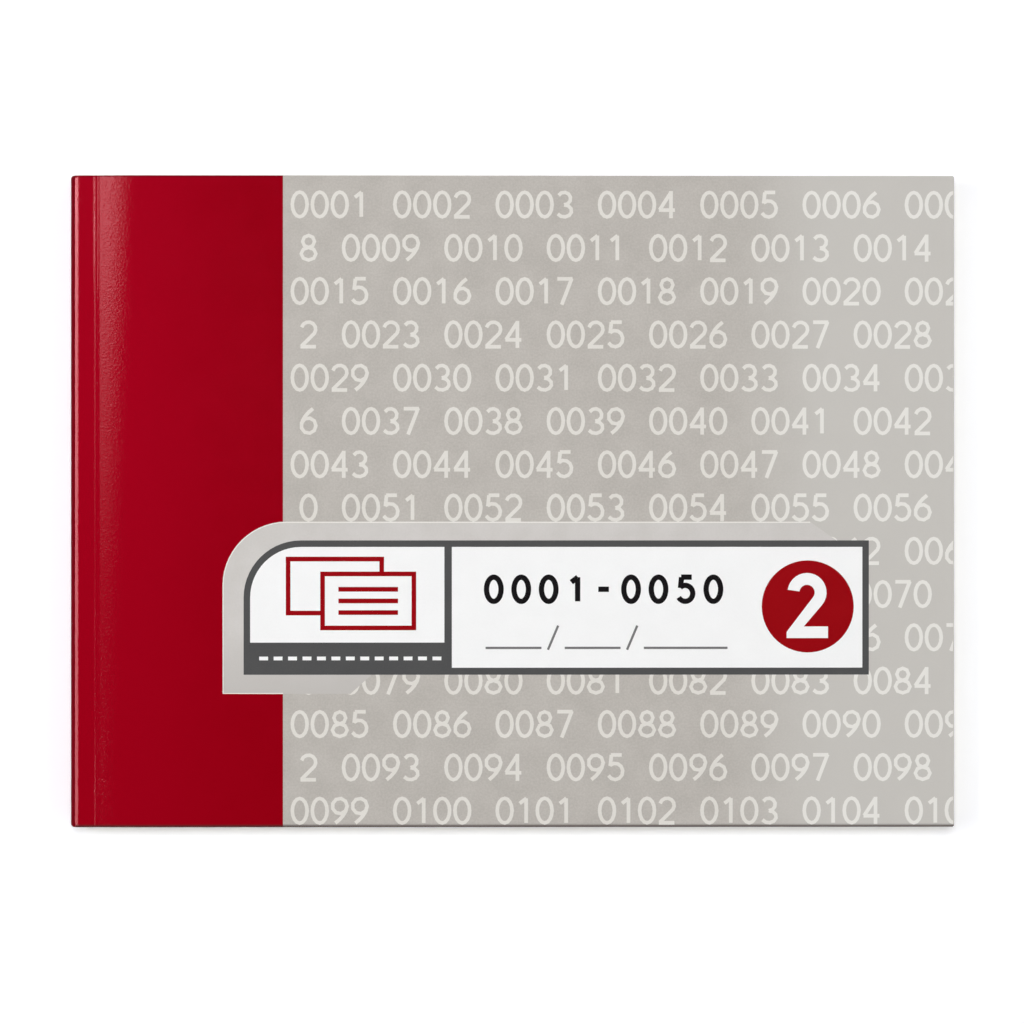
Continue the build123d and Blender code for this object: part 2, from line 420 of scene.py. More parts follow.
def plain_figures(fine):
    """The figures 0 to 9, one unit high, as pen strokes with fine times as many points on their bows."""
    tail_of_six = [(0.48, 1.0), (0.31, 0.86), (0.17, 0.70), (0.06, 0.52), (0.01, 0.34)]
    return [
        [oval(0.30, 0.50, 0.30, 0.50, 16 * fine)],
        [[(0.10, 0.79), (0.37, 1.0)], [(0.36, 1.0), (0.36, 0.0)]],
        [bow(0.30, 0.71, 0.29, 0.29, 165, -35, 7 * fine) + [(0.02, 0.03)], [(-0.03, 0.0), (0.60, 0.0)]],
        [bow(0.28, 0.745, 0.26, 0.255, 150, -90, 7 * fine),
         bow(0.28, 0.245, 0.30, 0.245, 90, -150, 7 * fine)],
        [[(0.46, 1.0), (0.0, 0.29)], [(-0.03, 0.28), (0.62, 0.28)], [(0.46, 1.05), (0.46, -0.05)]],
        [[(0.10, 1.0), (0.54, 1.0)], [(0.12, 1.0), (0.07, 0.55)],
         bow(0.27, 0.33, 0.31, 0.33, 132, -150, 9 * fine)],
        [oval(0.30, 0.31, 0.30, 0.31, 9 * fine), tail_of_six],
        [[(0.0, 1.0), (0.62, 1.0)], [(0.59, 1.02), (0.18, -0.05)]],
        [oval(0.30, 0.755, 0.24, 0.245, 8 * fine), oval(0.30, 0.255, 0.30, 0.255, 8 * fine)],
        [oval(0.30, 0.69, 0.30, 0.31, 9 * fine), [(0.6 - x, 1 - y) for x, y in tail_of_six]],
    ]


def figures(text, x, y, height, pitch, fine=1):
    """The strokes of a number, its first figure's foot at x, y. Anything but a figure is a dash."""
    paths = []
    for place, sign in enumerate(text):
        drawn = plain_figures(fine)[int(sign)] if sign.isdigit() else [[(0.08, 0.5), (0.52, 0.5)]]
        for path in drawn:
            paths.append([(x + place * pitch + height * u, y + height * v) for u, v in path])
    return paths


def box_path(x0, y0, x1, y1):
    return [(x0, y0), (x1, y0), (x1, y1), (x0, y1), (x0, y0)]


def form_paths(number):
    """The lines of one receipt: frame, heading, number, date and amount boxes, rules and signature rule."""
    paths = [box_path(FORM_LEFT, -FORM_TOP, FORM_RIGHT, FORM_TOP),
             box_path(RULE_LEFT, DATE_FOOT, HEADING_RIGHT, BOX_TOP),
             box_path(NUMBER_LEFT, NUMBER_FOOT, RULE_RIGHT, BOX_TOP),
             box_path(NUMBER_LEFT, DATE_FOOT, RULE_RIGHT, DATE_TOP),
             box_path(RULE_LEFT, AMOUNT_FOOT, AMOUNT_RIGHT, AMOUNT_TOP),
             box_path(RULE_LEFT + AMOUNT_GAP, AMOUNT_FOOT + AMOUNT_GAP,
                      AMOUNT_RIGHT - AMOUNT_GAP, AMOUNT_TOP - AMOUNT_GAP)]
    for y in (FIRST_RULE - RULE_PITCH * k for k in range(RULES)):
        paths.append([(RULE_LEFT, y), (RULE_RIGHT, y)])
    for x in DATE_SLASHES:
        paths.append([(x, DATE_FOOT + SLASH_GAP), (x + SLASH_LEAN, DATE_TOP - SLASH_GAP)])
    paths.append([(SIGNATURE_LEFT, SIGNATURE_LEVEL), (RULE_RIGHT, SIGNATURE_LEVEL)])
    return paths + figures(number, **FORM_NUMBER)


form_ink, shade = surface("form_ink")
wear = spread(shade, noise(shade, flat_place(shade), INK_GRAIN), 0.35, 0.75)
coat(shade, {"Base Color": mix(shade, wear, tint(58, 74, 118), tint(96, 112, 150)),
             "Roughness": 0.55 + wear * 0.2})


def printed_form(leaf, number, body, level):
    form = printed_strokes(f"{leaf}_form", form_paths(number), FORM_LINE, level, INK_FILM, form_ink)
    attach(form, body)


for leaf, body in (("original_04", "receipt"), ("duplicate_04", "pad")):
    printed_form(leaf, "0004", body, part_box(leaf)[1].z)

# Leaves that turn
# Sets 01 to 03 are written and turned back with the cover. Each leaf bends up from its bound stub.
# An original has a row of cuts at its stub, so that it could be torn off. A duplicate is whole.
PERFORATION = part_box("original_01_stub")[1].x
RAMP_END = PERFORATION - 0.6 * mm
RAMP_RUN = 6.4 * mm
RAMP_STEPS = 6
CUT_PITCH = 2.0 * mm
CUT = 1.2 * mm
CUT_GAP = 0.3 * mm
BEND_RUN = 7 * mm
BEND_STEPS = 16
FLAT_END = FORE_EDGE - 60 * mm
WHOLE_ROWS = 9


def smooth(share):
    share = min(1.0, max(0.0, share))
    return share * share * (3 - 2 * share)


cuts = int(2 * HEAD / CUT_PITCH)
cut_middles = [(k - (cuts - 1) / 2) * CUT_PITCH for k in range(cuts)]
cut_rows = [(middle + side * CUT / 2) / HEAD for middle in cut_middles for side in (-1, 1)]
for number in (1, 2, 3):
    for kind, finish in (("original", original_paper), ("duplicate", duplicate_paper)):
        leaf = f"{kind}_{number:02d}"
        low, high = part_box(f"{leaf}_stub")
        lift = high.z - low.z - LEAF
        columns = [LEAF_EDGE, *(RAMP_END - RAMP_RUN * (1 - k / RAMP_STEPS) for k in range(RAMP_STEPS + 1))]
        cut_column = len(columns)
        columns += [PERFORATION - CUT_GAP / 2, PERFORATION + CUT_GAP / 2]
        columns += [PERFORATION + BEND_RUN * k / BEND_STEPS for k in range(1, BEND_STEPS + 2)]
        columns += [FLAT_END, *corner_columns()]
        rows = [-1, *cut_rows, 1] if kind == "original" else np.linspace(-1, 1, WHOLE_ROWS)
        heights = [low.z + lift * smooth((x - RAMP_END + RAMP_RUN) / RAMP_RUN) for x in columns]
        filled = np.ones((len(columns) - 1, len(rows) - 1), bool)
        if kind == "original":
            filled[cut_column, 1::2] = False
        turned = slab(f"{leaf}_leaf", *sheet_grids(columns, heights, LEAF - INK_ROOM, rows), filled)
        show(turned)
        turned.data.materials.append(finish)
        remember_flat(turned)
        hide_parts(leaf, f"{leaf}_stub")
        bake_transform(turned)
        printed_form(leaf, f"{number:04d}", leaf, high.z - INK_ROOM)

# Stitches and glue
# Two staples of drawn steel wire go through the bound edge of the pad and are clinched at the back.
# Cold glue, dried to a milky skin, holds the card to the pad's spine and under the hinge strips.
DRAW_LINE = 0.03 * mm
DRAW_STRETCH = 0.08
GLUE_SKIN = 1.2 * mm
GLUE_RELIEF = 0.02 * mm

drawn_wire, shade = surface("drawn_wire")
along = shade.node("ShaderNodeMapping", {}, {"Vector": solid_place(shade), "Scale": (1.0, DRAW_STRETCH, 1.0)})
draw_lines = noise(shade, along, DRAW_LINE, 3.0)
wire_colour = mix(shade, draw_lines, tint(150, 148, 144), tint(204, 203, 200))
coat(shade, {"Base Color": wire_colour, "Metallic": 1.0, "Roughness": 0.22 + draw_lines * 0.25})
dress(drawn_wire, "head_stitch", "tail_stitch")
dried_glue, shade = surface("dried_glue")
skin = noise(shade, solid_place(shade), GLUE_SKIN, 3.0)
coat(shade, {"Base Color": mix(shade, skin, tint(236, 230, 208), tint(214, 205, 176)),
             "Roughness": 0.3 + skin * 0.25, "Normal": bumped(shade, skin, GLUE_RELIEF, 0.4)})
dress(dried_glue, "spine_glue")

# Cover card
# One sheet of card wraps the pad: back panel, spine and front panel. Its outside is printed in red and grey
# and has gloss film on it. Pressed creases beside the spine let both panels open.
hinge = {joint["name"]: joint["pos_m"] for joint in frame["joints"] if joint["type"] == "hinge"}
CREASE = hinge["front_cover_hinge"][0]
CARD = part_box("back_cover")[1].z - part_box("back_cover")[0].z
STRIP_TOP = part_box("spine_wrap")[1].z
COVER_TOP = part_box("front_cover")[1].z
SHOULDER = 1.86 * mm
SHOULDER_START = radians(10.7)
SHOULDER_LEAN = radians(12.7)
SHOULDER_RUN = 0.80 * mm
SHOULDER_EASE = 0.12 * mm
SHOULDER_STEPS = 8
EASE_STEPS = 4
TURN = (SHOULDER - SHOULDER_RUN) / (1 - sin(SHOULDER_LEAN))
TURN_STEPS = 14
STRIP_START = SPINE + SHOULDER
TURN_END = STRIP_START - SHOULDER_RUN + 0.01 * mm
WALL_ROWS = 5
STRIP_STEPS = 8
STRIP_DIP = 0.04 * mm
SLOPE_START = CREASE + 1.05 * mm
SLOPE_END = SPINE + 15 * mm
SLOPE_STEPS = 24
SLOPE_CURVE = 2.4
BAND = 45.7 * mm
BAND_END = SPINE + BAND
FOLD_STEP = 0.06 * mm
FOLD_STEPS = 18
PANEL_COLUMNS = (18, 22, 27, 32, 38, 45.7, 54, 70, 90, 110, 130, 150, 170, 184)
CRUSH = 0.65 * mm
EDGE_ROUND = 0.30 * mm
EDGE_FALL = 0.12 * mm
END_ROWS = (0.0, 0.05, 0.15, 0.3, 0.5, 0.75, 1.0, 1.5)
MIDDLE_ROWS = 57
MIDDLE_REACH = 0.965

RIDGE_AT = CREASE + 0.17 * mm
RIDGE_WIDTH = 0.17 * mm
RIDGE_WIDENING = 0.1 * mm
RIDGE_HEIGHT = 0.0275 * mm
RIDGE_FALL = 0.0095 * mm
HEAD_RISE = 0.052 * mm
HEAD_FROM = 0.60
HEAD_EASE = 0.16
TAIL_RISE = 0.013 * mm
TAIL_FROM = 0.6
SCRATCH_AT = CREASE + 0.45 * mm
SCRATCH_WIDTH = 0.17 * mm
SCRATCH_DEPTH = 0.050 * mm

WHITE = (1, 1, 1, 1)
RED_SHEEN = (1.0, 0.48, 0.52, 1)
SPECK = 0.4 * mm
MOTTLE = 6 * mm
FINE_PEEL = 0.42 * mm
WIDE_PEEL = 1.3 * mm
PEEL_RELIEF = 0.013 * mm
HANDLING = 14 * mm
SCUFF = 0.4 * mm
SCUFFS_START = CREASE - 0.6 * mm
SCUFFS_FADE = SPINE + 9 * mm
DEEP_SCUFFS_FADE = SPINE + 6.5 * mm
DEEP_SCUFFS_END = SPINE + 10.5 * mm
DEEPEST = -0.7 * HEAD
PULP = 0.3 * mm
PULP_RELIEF = 0.012 * mm
# Painted shade along the tail edge: the print darkens over the last 0.85 mm before the cut, fully by 0.15 mm.
PAINTED_TAIL_SHADE_START = 0.85 * mm
PAINTED_TAIL_SHADE_FULL = 0.15 * mm
# The red print is darker in a thin band along the head edge.
HEAD_EDGE_DARK_BAND = 0.7 * mm
# Painted light: the red print gets lighter from here towards the spine, fully within 10 mm of it.
PAINTED_LIGHT_RED_START = SPINE + 45 * mm
PAINTED_LIGHT_RED_FULL = SPINE + 10 * mm
# Painted light: the grey field and its pale figures get lighter from here towards the fore edge, fully 24 mm
# from it.
PAINTED_LIGHT_FIELD_START = FORE_EDGE - 52 * mm
PAINTED_LIGHT_FIELD_FULL = FORE_EDGE - 24 * mm


def coordinate(shade, place, axis):
    return shade.node("ShaderNodeSeparateXYZ", {}, {"Vector": place}, axis)


def scuffs(shade, place):
    """Fine scuffs of the film beside the spine. Close to the crease they get deeper towards the tail."""
    x = coordinate(shade, place, "X")
    y = coordinate(shade, place, "Y")
    specks = spread(shade, noise(shade, place, SCUFF, 1.0), 0.45, 0.75)
    beside = spread(shade, x, SCUFFS_START, CREASE) * spread(shade, x, SLOPE_END, SCUFFS_FADE)
    deeper = spread(shade, y, 0.0, DEEPEST) * spread(shade, x, DEEP_SCUFFS_END, DEEP_SCUFFS_FADE)
    return specks * beside * (0.65 + deeper * 0.8)


def laminate(name, light, dark, grain=0.35, clouds=0.4, gloss=True, sheen=WHITE, fades=(), creased=False):
    """Print under gloss film: the ink's own mottle, and the film's fine orange peel over it.
    Without gloss it is the film where a tight turn has strained it dull. sheen colours what the film mirrors.
    A fade is a tone, the axis along which the colour goes over to it, where that starts and ends, and how
    far. Fades also carry painted light and painted shade.
    A creased film is scuffed beside the spine."""
    made, shade = surface(name)
    place = flat_place(shade)
    speck = spread(shade, noise(shade, place, SPECK), 0.25, 0.75)
    cloud = spread(shade, noise(shade, place, MOTTLE, 4.0), 0.25, 0.75)
    colour = mix(shade, speck * grain + cloud * clouds, light, dark)
    for tone, axis, start, end, share in fades:
        faded = spread(shade, coordinate(shade, place, axis), start, end)
        colour = mix(shade, faded * share, colour, tone)
    peel = noise(shade, place, FINE_PEEL, 1.0) + noise(shade, place, WIDE_PEEL, 1.0) * 0.6
    if creased:
        peel = peel + scuffs(shade, place)
    handling = noise(shade, place, HANDLING, 3.0)
    coat(shade, {"Base Color": colour, "Normal": bumped(shade, peel, PEEL_RELIEF, 1.0), "IOR": 1.4,
                 "Specular IOR Level": 0.5 if gloss else 0.04, "Specular Tint": sheen,
                 "Roughness": handling * 0.05 + (0.03 if gloss else 0.45)})
    return made


card_inside, shade = surface("card_inside")
pulp = noise(shade, flat_place(shade), PULP, 4.0)
card_colour = mix(shade, spread(shade, pulp, 0.25, 0.75), tint(240, 238, 232), tint(226, 223, 214))
coat(shade, {"Base Color": card_colour, "Roughness": 0.6 + pulp * 0.25,
             "Normal": bumped(shade, pulp, PULP_RELIEF, 0.5)})
# Painted shade: a dark band along the tail's cut edge of the red and grey print, where that edge lies in
# shade.
tail_painted_shade = (tint(56, 40, 38), "Y", PAINTED_TAIL_SHADE_START - HEAD, PAINTED_TAIL_SHADE_FULL - HEAD, 0.86)
red_print = laminate("red_print", tint(153, 2, 23), tint(141, 0, 16), sheen=RED_SHEEN, creased=True,
                     # Painted light: the red lighter towards the spine.
                     fades=[(tint(164, 3, 29), "X", PAINTED_LIGHT_RED_START, PAINTED_LIGHT_RED_FULL, 0.85),
                            # Painted shade: the red darker towards the tail.
                            (tint(146, 0, 18), "Y", 0.6 * HEAD, -HEAD, 0.5),
                            # A darker red band along the head edge.
                            (tint(116, 8, 26), "Y", HEAD - HEAD_EDGE_DARK_BAND, HEAD, 0.9),
                            tail_painted_shade])
# Painted light: the grey field lighter towards the fore edge.
grey_print = laminate("grey_print", tint(196, 191, 185), tint(178, 173, 167), grain=0.5,
                      fades=[(tint(202, 199, 194), "X", PAINTED_LIGHT_FIELD_START, PAINTED_LIGHT_FIELD_FULL, 0.85), tail_painted_shade])
# The spine edge's tight turn: dull film, and a darker red that is painted shade where the turn faces away
# from the light.
dull_turn_painted_shade = laminate("dull_turn_painted_shade", tint(120, 3, 20), tint(110, 1, 14), gloss=False, sheen=RED_SHEEN)
CARD_FINISHES = (card_inside, red_print, grey_print, dull_turn_painted_shade)


def crease_line(x, y):
    """The pressed line beside the spine: a low ridge, and a scratch by it that runs out below the head."""
    at_head = smooth((y / HEAD - HEAD_FROM) / HEAD_EASE)
    at_tail = max(0.0, -y / HEAD - TAIL_FROM) / (1 - TAIL_FROM)
    ridge = ((x - RIDGE_AT) / (RIDGE_WIDTH + RIDGE_WIDENING * at_head)) ** 2
    scratch = ((x - SCRATCH_AT) / SCRATCH_WIDTH) ** 2
    height = RIDGE_HEIGHT - RIDGE_FALL * y / HEAD + HEAD_RISE * at_head + TAIL_RISE * at_tail
    return height * exp(-ridge) - SCRATCH_DEPTH * at_head * exp(-scratch)


def cut_edge(x, y):
    """How far the outside drops beside a cut edge, where the guillotine rounded it over."""
    inside = min(reach(x) - abs(y), FORE_EDGE - x)
    past = max(0.0, 1 - inside / EDGE_ROUND)
    return EDGE_FALL * (1 - sqrt(1 - min(1.0, past) ** 2)) * min(1.0, (x - SPINE) / SHOULDER)


def card_points(columns, rows):
    """Outer and inner points of the card. A column is its outer x and z and its inner x and z."""
    outer = np.zeros((len(columns), len(rows), 3))
    inner = np.zeros_like(outer)
    for i, (x, z, inner_x, inner_z) in enumerate(columns):
        crushed = max(0.0, 1 - (x - SPINE) / SHOULDER)
        for j, row in enumerate(rows):
            y = reach(x) * row
            past = max(0.0, abs(y) - HEAD + CRUSH)
            tuck = crushed * (CRUSH - sqrt(max(0.0, CRUSH ** 2 - past ** 2)))
            pressed = crease_line(x, y) if x >= STRIP_START else 0.0
            if z > STRIP_TOP / 2:
                pressed -= cut_edge(x, y)
            else:
                pressed = cut_edge(x, y) - min(0.0, pressed)
            outer[i, j] = (x + tuck, y, z + pressed)
            inner[i, j] = (inner_x + tuck, y, inner_z)
    return outer, inner


def shoulder(along):
    """Drop and lean of the spine edge's nearly flat shoulder, so far from the hinge strip."""
    eased = min(along, SHOULDER_EASE)
    past = (along - eased) / (SHOULDER_RUN - SHOULDER_EASE)
    drop = SHOULDER_START * (along - eased + eased ** 2 / (2 * SHOULDER_EASE))
    drop += (SHOULDER_LEAN - SHOULDER_START) * past * (along - eased) / 2
    return drop, SHOULDER_START * eased / SHOULDER_EASE + (SHOULDER_LEAN - SHOULDER_START) * past


EDGE_DROP = shoulder(SHOULDER_RUN)[0] + TURN * cos(SHOULDER_LEAN)


def spine_edge(level, down):
    """The columns of one spine edge, from the hinge strip to the wall: the shoulder, then a tight turn."""
    profile = []
    for along in [*np.linspace(0, SHOULDER_EASE, EASE_STEPS, endpoint=False),
                  *np.linspace(SHOULDER_EASE, SHOULDER_RUN, SHOULDER_STEPS, endpoint=False)]:
        profile.append((STRIP_START - along, *shoulder(along)))
    for k in range(TURN_STEPS + 1):
        lean = SHOULDER_LEAN + (pi / 2 - SHOULDER_LEAN) * k / TURN_STEPS
        profile.append((SPINE + TURN * (1 - sin(lean)), EDGE_DROP - TURN * cos(lean), lean))
    return [(x, level + down * drop, x + CARD * sin(lean), level + down * (drop + CARD * cos(lean)))
            for x, drop, lean in profile]


def front_height(x):
    """The level of the front's outside: the hinge strip dips to its crease, then the panel eases up."""
    if x < SLOPE_START:
        return STRIP_TOP - STRIP_DIP * min(1.0, (x - STRIP_START) / (CREASE - STRIP_START))
    along = min(1.0, (x - SLOPE_START) / (SLOPE_END - SLOPE_START))
    return STRIP_TOP - STRIP_DIP + (COVER_TOP - STRIP_TOP + STRIP_DIP) * (1 - (1 - along) ** SLOPE_CURVE)


strip = [STRIP_START + (CREASE - STRIP_START) * k / STRIP_STEPS for k in range(STRIP_STEPS // 2 + 1)]
fold = [CREASE + FOLD_STEP * k for k in range(-FOLD_STEPS, FOLD_STEPS + 1)]
slope = [fold[-1] + (SLOPE_END - fold[-1]) * k / SLOPE_STEPS for k in range(1, SLOPE_STEPS + 1)]
panel = [SPINE + column * mm for column in PANEL_COLUMNS]
flat_columns = strip + fold + slope + panel + corner_columns(6)
wall_levels = np.linspace(EDGE_DROP, STRIP_TOP - EDGE_DROP, WALL_ROWS)
spine_wall = [(SPINE, z, SPINE + CARD, z) for z in wall_levels]
front_columns = spine_wall[:-1] + spine_edge(STRIP_TOP, -1)[:0:-1]
front_columns += [(x, front_height(x), x, max(front_height(x), STRIP_TOP) - CARD) for x in flat_columns]
back_columns = [(x, 0.0, x, CARD) for x in reversed(flat_columns)]
back_columns += spine_edge(0.0, 1)[1:]
rows = [-1 + row * mm / HEAD for row in END_ROWS]
rows += list(np.linspace(-MIDDLE_REACH, MIDDLE_REACH, MIDDLE_ROWS))
rows += [1 - row * mm / HEAD for row in reversed(END_ROWS)]


def outside_finish(first, second):
    """The number of the finish between two columns: the dull turn with painted shade, the red band or the
    grey field.
    """
    if first[0] != second[0] and max(first[0], second[0]) < TURN_END:
        return CARD_FINISHES.index(dull_turn_painted_shade)
    return CARD_FINISHES.index(red_print if first[0] + second[0] < 2 * BAND_END else grey_print)


for name, columns, joint, body, nodes in (
        ("front_card", front_columns, "front_cover_hinge", "front_cover", ("front_cover", "spine_wrap")),
        ("back_card", back_columns, "back_cover_hinge", "back_cover", ("back_cover",))):
    outside = [outside_finish(first, second) for first, second in zip(columns, columns[1:])]
    card = slab(name, *card_points(columns, rows), outside=outside)
    show(card)
    for finish in CARD_FINISHES:
        card.data.materials.append(finish)
    remember_flat(card)
    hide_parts(*nodes)
    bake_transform(card)

# Rows of numbers on the grey print
# Pale running numbers in plain figures fill the grey field, every other row shifted by half a number.
# They are part of the print, and the guillotine cuts them off at the card's edges.
ROW_PITCH = 9.3 * mm
FIRST_ROW = HEAD - 8.9 * mm
NUMBER_PITCH = 22 * mm
NUMBER_START = BAND_END + 2.0 * mm
FIELD_START = BAND_END + 1.5 * mm
FIGURE_PITCH = 4.3 * mm
FIGURE_HEIGHT = 5.3 * mm
FIGURE_LINE = 0.8 * mm
FILM = 0.006 * mm
EDGE_INSET = 0.25 * mm
# Painted light: the figures lighter towards the fore edge, as on the grey field.
pale_print = laminate("pale_print", tint(228, 225, 219), tint(219, 215, 208),
                      fades=[(tint(234, 232, 227), "X", PAINTED_LIGHT_FIELD_START, PAINTED_LIGHT_FIELD_FULL, 0.85)])

pens = bpy.data.collections.new("figure_strokes")
for figure, paths in enumerate(plain_figures(1)):
    scaled = [[(FIGURE_HEIGHT * u, FIGURE_HEIGHT * v) for u, v in path] for path in paths]
    pens.objects.link(stroke_curve(f"figure_{figure}", scaled))

number_rows, field, given = tree_of("number_rows", Figures="Collection", Width="Float", Film="Float",
                                    Ink="Material")
shapes = field.node("GeometryNodeCollectionInfo", {},
                    {"Collection": given["Figures"], "Separate Children": True, "Reset Children": True})
which = field.node("GeometryNodeInputNamedAttribute", {"data_type": "INT"}, {"Name": "figure"})
set_out = field.node("GeometryNodeInstanceOnPoints", {}, {"Points": given["Geometry"], "Instance": shapes,
                                                           "Pick Instance": True, "Instance Index": which})
inked(field, set_out, given)

places, signs = [], []
running = 1
for row in range(ceil(2 * HEAD / ROW_PITCH)):
    x = NUMBER_START - (row % 2) * NUMBER_PITCH / 2
    while x < FORE_EDGE:
        for place, sign in enumerate(f"{running:04d}"):
            left = x + place * FIGURE_PITCH
            if FIELD_START < left < FORE_EDGE:
                places.append((left, FIRST_ROW - row * ROW_PITCH, COVER_TOP + FILM / 2))
                signs.append(int(sign))
        running += 1
        x += NUMBER_PITCH
spots = bpy.data.meshes.new("number_places")
spots.from_pydata(places, [], [])
spots.attributes.new("figure", "INT", "POINT").data.foreach_set("value", signs)


def on_cover(piece):
    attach(piece, "front_cover")


def trim(piece, point, outward):
    """Cuts a film off at an edge of the card and closes the cut."""
    shape = bmesh.new()
    shape.from_mesh(piece.data)
    parts = shape.verts[:] + shape.edges[:] + shape.faces[:]
    cut = bmesh.ops.bisect_plane(shape, geom=parts, plane_co=point, plane_no=outward, clear_outer=True)
    rim = [part for part in cut["geom_cut"] if isinstance(part, bmesh.types.BMEdge)]
    bmesh.ops.holes_fill(shape, edges=rim)
    shape.to_mesh(piece.data)
    shape.free()


rows_of_numbers = grown("cover_numbers", bpy.data.objects.new("number_places", spots), number_rows,
                        Figures=pens, Width=FIGURE_LINE, Film=FILM, Ink=pale_print)
trim(rows_of_numbers, (FORE_EDGE - EDGE_INSET, 0, 0), (1, 0, 0))
trim(rows_of_numbers, (0, HEAD - EDGE_INSET, 0), (0, 1, 0))
trim(rows_of_numbers, (0, -HEAD + EDGE_INSET, 0), (0, -1, 0))
on_cover(rows_of_numbers)

# Printed label
# A light plate with one round corner, a dark frame of two white cells, a red disc and plain generic marks.
# All of it is print under the same film, in layers each a little higher than the one it covers.
PLATE_LAYER, RIM_LAYER, FRAME_LAYER, CELL_LAYER, MARK_LAYER, TOP_LAYER = range(2, 8)
PLATE_LEFT = 32.75 * mm
PLATE_TOP = -4.4 * mm
PLATE_FOOT = -41.35 * mm
PLATE_CORNER = 13.7 * mm
PLATE_TOP_END = 159.0 * mm
PLATE_SLANT = [(60.2 * mm, PLATE_FOOT), (66.2 * mm, -35.9 * mm), (166.0 * mm, -9.4 * mm)]
PLATE_SHADE = -26 * mm
PLATE_SHADE_FULL = -43 * mm
RIM_LINE = 0.25 * mm
RIM_INSET = 0.1 * mm
FRAME_LEFT = 37.25 * mm
FRAME_TOP = -8.4 * mm
FRAME_RIGHT = 171.6 * mm
FRAME_FOOT = -37.25 * mm
FRAME_CORNER = 12.3 * mm
FRAME_LINE = 1.4 * mm
FOOT_LINE = 1.5 * mm
LEFT_CELL_RIGHT = 80.35 * mm
LEFT_CELL_FOOT = -30.35 * mm
RIGHT_CELL_LEFT = 81.95 * mm
DISC = {"x": 158.45 * mm, "y": -22.6 * mm, "wide": 9.9 * mm, "high": 9.9 * mm}
TWO_X = 158.3 * mm
TWO_Y = -19.6 * mm
TWO_OUTER = 4.2 * mm
TWO_INNER = 1.65 * mm
TWO_LEFT = 153.9 * mm
TWO_RIGHT = 162.8 * mm
TWO_FOOT = -29.4 * mm
TWO_FOOT_TOP = -26.9 * mm
TWO_NECK_X = 157.6 * mm
TWO_NECK_Y = -28.1 * mm
MARK_LINE = 1.0 * mm
FRONT_SHEET = {"left": 54.2 * mm, "foot": -27.2 * mm, "right": 73.8 * mm, "top": -15.6 * mm}
BACK_SHEET = {"left": 46.8 * mm, "foot": -24.0 * mm, "right": 66.9 * mm, "top": -12.4 * mm}
LINE_INSET = 3.4 * mm
SHEET_LINES = (-18.9 * mm, -21.4 * mm, -23.9 * mm)
DASH_LEFT = 40.6 * mm
DASH_RIGHT = 78.6 * mm
DASH_PITCH = 3.1 * mm
DASH = 1.9 * mm
DASH_LEVEL = -33.75 * mm
DASH_LINE = 0.8 * mm
RANGE_NUMBER = {"x": 89.4 * mm, "y": -21.5 * mm, "height": 5.2 * mm, "pitch": 5.9 * mm}
RANGE_LINE = 1.15 * mm
DATE_BLANKS = [(89.2 * mm, 101.2 * mm), (106.2 * mm, 118.2 * mm), (123.2 * mm, 141.2 * mm)]
BLANK_LEVEL = -31.5 * mm
BLANK_LINE = 0.5 * mm
STROKE_GAP = 1.4 * mm
STROKE_FOOT = -31.9 * mm
STROKE_TOP = -26.7 * mm
STROKE_LEAN = 2.2 * mm


def film_piece(name, outlines, layer, finish):
    """Flat printed patches in one film, their outlines given from the spine and the middle line."""
    shape = bmesh.new()
    for outline in outlines:
        upper = [shape.verts.new((SPINE + x, y, COVER_TOP + layer * FILM)) for x, y in outline]
        lower = [shape.verts.new((SPINE + x, y, COVER_TOP)) for x, y in outline]
        shape.faces.new(upper)
        shape.faces.new(reversed(lower))
        for k in range(len(outline)):
            after = (k + 1) % len(outline)
            shape.faces.new((upper[after], upper[k], lower[k], lower[after]))
    mesh = bpy.data.meshes.new(name)
    shape.to_mesh(mesh)
    shape.free()
    mesh.materials.append(finish)
    piece = bpy.data.objects.new(name, mesh)
    show(piece)
    remember_flat(piece)
    on_cover(piece)


def line_piece(name, paths, width, layer, finish):
    """Printed lines in one film, their paths given in the same way."""
    on_cover(printed_strokes(name, paths, width, COVER_TOP, layer * FILM, finish))


def round_corner(left, top, radius):
    return bow(left + radius, top - radius, radius, radius, 90, 180, 14)


plate_print = laminate("plate_print", tint(212, 208, 205), tint(203, 199, 195), clouds=0.7,
                       fades=[(tint(191, 187, 183), "Y", PLATE_SHADE, PLATE_SHADE_FULL, 0.85)])
plate = round_corner(PLATE_LEFT, PLATE_TOP, PLATE_CORNER)
plate += [(PLATE_LEFT, PLATE_FOOT), *PLATE_SLANT, (PLATE_TOP_END, PLATE_TOP)]
film_piece("label_plate", [plate], PLATE_LAYER, plate_print)

edge_print = laminate("plate_edge_print", tint(238, 235, 230), tint(230, 227, 221))
rim_left = PLATE_LEFT + RIM_INSET
rim_top = PLATE_TOP - RIM_INSET
rim_foot = PLATE_FOOT + RIM_INSET
rim = [(BAND, rim_foot), (rim_left, rim_foot)]
rim += reversed(round_corner(rim_left, rim_top, PLATE_CORNER - RIM_INSET))
rim += [(PLATE_TOP_END, rim_top)]
line_piece("label_plate_edge", [rim], RIM_LINE, RIM_LAYER, edge_print)

frame_print = laminate("frame_print", tint(86, 86, 86), tint(79, 79, 80))
dark_frame = round_corner(FRAME_LEFT, FRAME_TOP, FRAME_CORNER)
dark_frame += [(FRAME_LEFT, FRAME_FOOT), (FRAME_RIGHT, FRAME_FOOT), (FRAME_RIGHT, FRAME_TOP)]
film_piece("label_frame", [dark_frame], FRAME_LAYER, frame_print)

